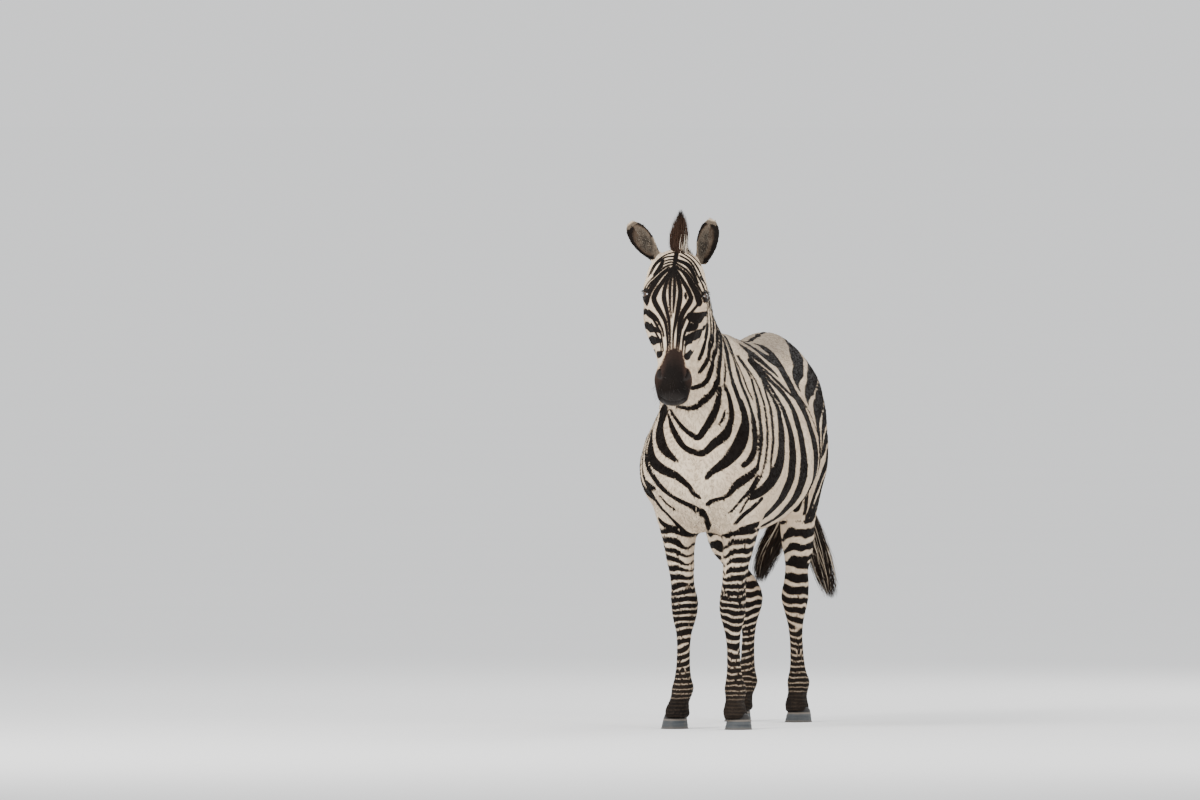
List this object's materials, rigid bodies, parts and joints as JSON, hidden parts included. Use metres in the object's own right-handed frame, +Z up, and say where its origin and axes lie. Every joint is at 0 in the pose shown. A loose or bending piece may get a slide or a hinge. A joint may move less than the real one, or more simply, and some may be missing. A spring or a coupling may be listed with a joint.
{
  "type": "standing plains zebra",
  "caption": "Life-size plains zebra standing square with its head raised and ears pricked, a still museum model on four hooves.",
  "frame": {"origin": "on the floor under the middle of the animal's box", "axes": "+Z up; the animal faces -Y; its left side is +X"},
  "size_m": [0.516, 1.8232, 1.67],
  "materials": {
    "coat": "short flat coat in warm cream with brown-black stripes, soft sheen",
    "mane_hair": "coarse upright hair, brown-black with cream bands and reddish tips",
    "hoof": "dark horn with fine rings, grey with dust at the ground",
    "eye": "wet and dark brown, nearly black, with a horizontal pupil"
  },
  "bodies": {
    "root": {"head": "coat", "neck": "coat", "trunk": "coat", "tail_dock": "coat", "ear_left": "coat", "ear_right": "coat", "upper_leg_front_left": "coat", "lower_leg_front_left": "coat", "hoof_front_left": "hoof", "upper_leg_front_right": "coat", "lower_leg_front_right": "coat", "hoof_front_right": "hoof", "upper_leg_hind_left": "coat", "lower_leg_hind_left": "coat", "hoof_hind_left": "hoof", "upper_leg_hind_right": "coat", "lower_leg_hind_right": "coat", "hoof_hind_right": "hoof", "mane": "mane_hair", "forelock": "mane_hair", "tail_tuft_left": "mane_hair", "tail_tuft_right": "mane_hair", "eye_left": "eye", "eye_right": "eye"}
  },
  "joints": []
}
